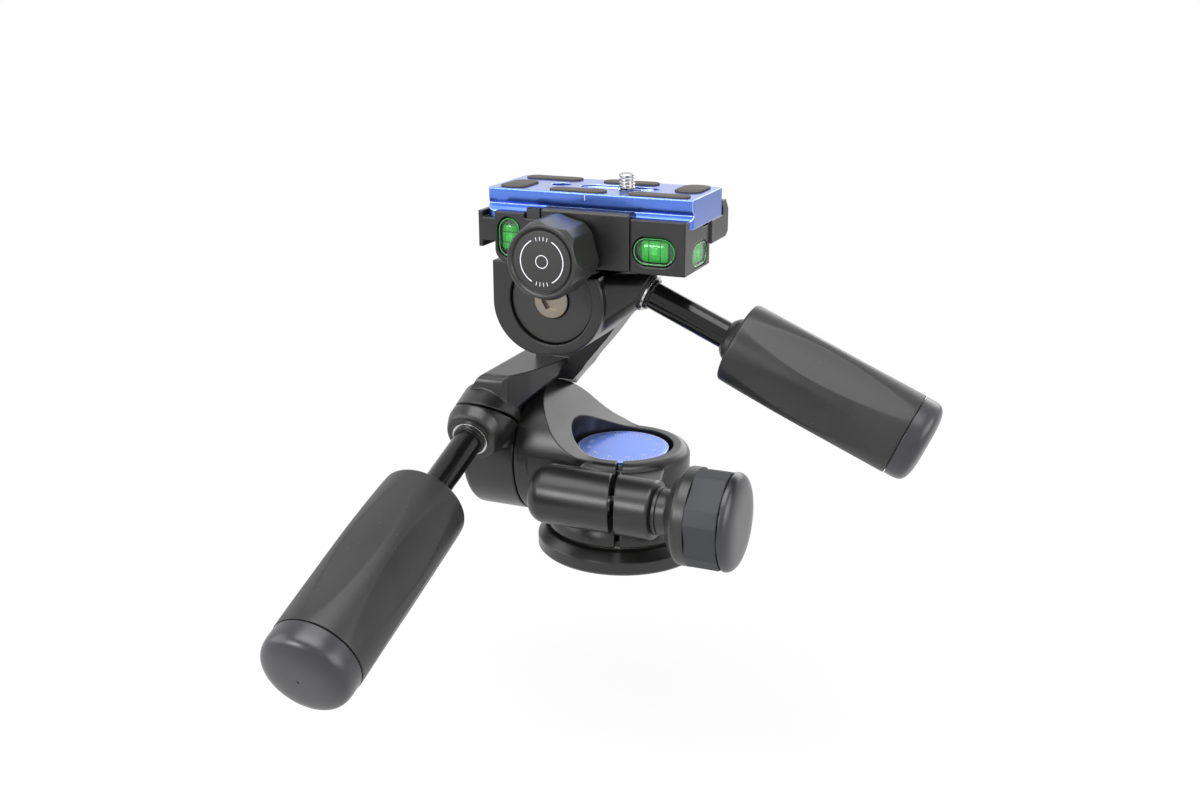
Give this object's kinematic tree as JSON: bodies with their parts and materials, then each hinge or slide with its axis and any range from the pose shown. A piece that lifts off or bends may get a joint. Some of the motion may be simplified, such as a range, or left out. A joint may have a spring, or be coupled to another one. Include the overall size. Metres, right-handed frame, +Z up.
{
  "type": "three way pan tilt head",
  "caption": "Black three way pan tilt head with two rubber grip handles, a pan knob, spirit levels and a blue quick release camera plate.",
  "frame": {"origin": "pan axis at the underside of the foot, where the tripod thread opens", "axes": "+Z up along the pan axis, +X along the tilt axis toward the pan knob, -Y toward the user's side with the quick release knob"},
  "size_m": [0.1963, 0.2073, 0.1634],
  "materials": {
    "casting": "satin",
    "steel": "satin",
    "dark_steel": "satin",
    "bronze": "satin",
    "brass_screw": "satin",
    "nylon": "matte",
    "black_plastic": "satin",
    "gloss_rod": "gloss",
    "rubber": "matte",
    "pad_rubber": "matte",
    "blue_anodised": "satin",
    "dial_blue": "satin",
    "acrylic": "gloss",
    "vial_fluid": "gloss"
  },
  "bodies": {
    "base": {"base_foot": "casting", "pan_spindle": "steel", "thread_insert": "steel", "spindle_screws": "dark_steel", "pan_lower_washer": "nylon", "pan_thrust_washer": "nylon", "pan_retainer": "steel", "retainer_screws": "dark_steel", "pan_dial": "dial_blue"},
    "pan": {"pan_housing": "casting", "pan_bush": "bronze", "tilt_axle": "steel", "tilt_end_disc": "casting", "tilt_axle_screw": "brass_screw", "pan_clamp_nut": "steel"},
    "pan_knob": {"pan_knob_washer": "black_plastic", "pan_clamp_bolt": "steel", "pan_knob_hub": "black_plastic", "pan_knob_grip": "rubber", "pan_knob_cap": "black_plastic"},
    "tilt": {"tilt_arm": "casting", "tilt_bush": "bronze", "tilt_thrust_washer": "nylon", "roll_axle": "steel", "roll_end_disc": "casting", "roll_axle_screw": "brass_screw"},
    "tilt_handle": {"tilt_mouth_washer": "steel", "tilt_handle_rod": "gloss_rod", "tilt_handle_ferrule": "black_plastic", "tilt_handle_grip": "rubber", "tilt_handle_cap": "black_plastic"},
    "roll": {"roll_housing": "casting", "roll_bush": "bronze", "roll_thrust_washer": "nylon", "clamp_platform": "casting", "platform_screws": "dark_steel", "jaw_guide_pins": "steel", "jaw_spring": "steel", "safety_spring": "steel", "vial_front": "acrylic", "vial_left": "acrylic", "vial_side": "acrylic", "vial_fluids": "vial_fluid"},
    "roll_handle": {"roll_mouth_washer": "steel", "roll_handle_rod": "gloss_rod", "roll_handle_ferrule": "black_plastic", "roll_handle_grip": "rubber", "roll_handle_cap": "black_plastic"},
    "jaw": {"clamp_jaw": "casting"},
    "clamp_knob_turns": {"clamp_knob": "black_plastic", "clamp_knob_disc": "black_plastic", "clamp_screw": "steel", "clamp_knob_washer": "dark_steel"},
    "safety": {"safety_button": "black_plastic"},
    "plate": {"qr_plate": "blue_anodised", "plate_pads": "pad_rubber", "plate_stop_screws": "dark_steel"},
    "slider": {"screw_clip": "dark_steel"},
    "screw": {"camera_screw": "steel"}
  },
  "joints": [
    {"name": "pan", "type": "hinge", "parent": "base", "child": "pan", "pos_m": [0, 0, 0.03], "axis": [0, 0, 1], "continuous": true},
    {"name": "pan_knob_turn", "type": "hinge", "parent": "pan", "child": "pan_knob", "pos_m": [0.0294, -0.037, 0.03265], "axis": [1, 0, 0], "range_deg": [0, 180]},
    {"name": "tilt", "type": "hinge", "parent": "pan", "child": "tilt", "pos_m": [-0.037, 0, 0.0395], "axis": [1, 0, 0], "range_deg": [-90, 25]},
    {"name": "tilt_handle_twist", "type": "hinge", "parent": "tilt", "child": "tilt_handle", "pos_m": [-0.048, -0.0434, 0.0542], "axis": [0, -0.9391, -0.3437], "range_deg": [0, 90]},
    {"name": "roll", "type": "hinge", "parent": "tilt", "child": "roll", "pos_m": [-0.019, 0, 0.1095], "axis": [0, 1, 0], "range_deg": [-90, 5]},
    {"name": "roll_handle_twist", "type": "hinge", "parent": "roll", "child": "roll_handle", "pos_m": [0.0158, -0.013, 0.1127], "axis": [0.9157, 0, -0.4019], "range_deg": [0, 90]},
    {"name": "jaw_slide", "type": "slide", "parent": "roll", "child": "jaw", "axis": [0, -1, 0], "range_m": [0, 0.003]},
    {"name": "clamp_knob_turn", "type": "hinge", "parent": "jaw", "child": "clamp_knob_turns", "pos_m": [-0.0105, -0.033, 0.1307], "axis": [0, -1, 0], "range_deg": [0, 1080]},
    {"name": "button_press", "type": "slide", "parent": "roll", "child": "safety", "axis": [0, 0, -1], "range_m": [0, 0.003], "stiffness_N_per_m": 300, "springref_m": -0.002, "deforming": ["safety_spring"]},
    {"name": "plate_slide", "type": "slide", "parent": "roll", "child": "plate", "axis": [1, 0, 0], "range_m": [0, 0.012]},
    {"name": "screw_slide", "type": "slide", "parent": "plate", "child": "slider", "axis": [1, 0, 0], "range_m": [-0.014, 0.008]},
    {"name": "camera_screw_turn", "type": "hinge", "parent": "slider", "child": "screw", "pos_m": [0.005, -0.0095, 0.15], "axis": [0, 0, 1], "continuous": true}
  ],
  "couplings": [
    {"joint": "clamp_knob_turn", "follows": "jaw_slide", "rad_per_m": 6283}
  ]
}
